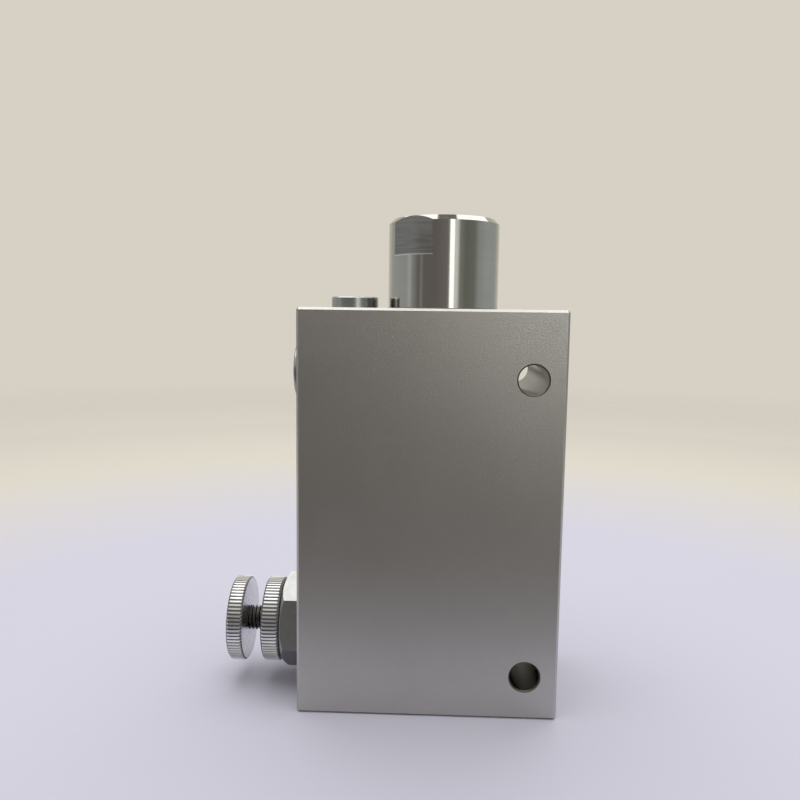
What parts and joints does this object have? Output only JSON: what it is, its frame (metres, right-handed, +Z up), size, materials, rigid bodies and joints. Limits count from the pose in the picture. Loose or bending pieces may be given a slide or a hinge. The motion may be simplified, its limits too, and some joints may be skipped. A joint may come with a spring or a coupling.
{
  "type": "three-way flow control valve",
  "caption": "Block valve with a round capped pressure compensator, a knurled throttle knob with a lock ring on the left, bolt holes through it, and threaded ports.",
  "frame": {"origin": "centre of the block's foot", "axes": "+Z up to the cap, +X from the knob's side to the side with the main ports, +Y to the back"},
  "size_m": [0.1053, 0.05, 0.153],
  "materials": {
    "block_aluminium": "bead blasted and anodised, warm grey",
    "cap_steel": "turned and polished, milled flats",
    "plug_steel": "turned and zinc plated",
    "cartridge_steel": "turned and nickel plated",
    "knurled_steel": "knurled and nickel plated",
    "dark_steel": "blackened",
    "inner_steel": "hardened and ground",
    "spring_steel": "drawn wire",
    "orifice_brass": "turned",
    "seal_rubber": "moulded, matte",
    "backup_plastic": "moulded, matte"
  },
  "bodies": {
    "block": {"valve_block": "block_aluminium", "compensator_cap": "cap_steel", "cap_seal": "seal_rubber", "compensator_sleeve": "inner_steel", "sleeve_seals": "seal_rubber", "compensator_spring": "spring_steel", "spring_seat": "inner_steel", "preload_shim": "inner_steel", "damping_orifice": "orifice_brass", "top_plug": "plug_steel", "top_plug_seal": "seal_rubber", "side_plug": "plug_steel", "side_plug_seal": "seal_rubber", "cartridge_body": "cartridge_steel", "cartridge_head_seal": "seal_rubber", "metering_cage": "inner_steel", "cage_nose_seal": "seal_rubber", "cage_backup_ring": "backup_plastic"},
    "spool": {"compensator_spool": "inner_steel"},
    "needle": {"throttle_needle": "inner_steel", "needle_seal": "seal_rubber"},
    "adjuster": {"adjusting_screw": "dark_steel", "adjusting_knob": "knurled_steel", "knob_grub_screw": "dark_steel"},
    "ring_seal": {"lock_ring_seal": "seal_rubber"},
    "ring": {"lock_ring": "knurled_steel"}
  },
  "joints": [
    {"name": "compensator_lift", "type": "slide", "parent": "block", "child": "spool", "axis": [0, 0, 1], "range_m": [0, 0.007], "stiffness_N_per_m": 8740, "springref_m": -0.0145, "deforming": ["compensator_spring"]},
    {"name": "throttle_travel", "type": "slide", "parent": "block", "child": "needle", "axis": [1, 0, 0], "range_m": [-0.00125, 0.005]},
    {"name": "knob_turn", "type": "hinge", "parent": "needle", "child": "adjuster", "pos_m": [-0.0625, 0, 0.02], "axis": [1, 0, 0], "range_deg": [-360, 1440]},
    {"name": "lock_ring_lift", "type": "slide", "parent": "block", "child": "ring_seal", "axis": [1, 0, 0], "range_m": [-0.000625, 0]},
    {"name": "lock_ring_turn", "type": "hinge", "parent": "ring_seal", "child": "ring", "pos_m": [-0.051, 0, 0.02], "axis": [1, 0, 0], "range_deg": [-180, 0]}
  ],
  "couplings": [
    {"joint": "knob_turn", "follows": "throttle_travel", "rad_per_m": 5026.5},
    {"joint": "lock_ring_turn", "follows": "lock_ring_lift", "rad_per_m": 5026.5}
  ]
}
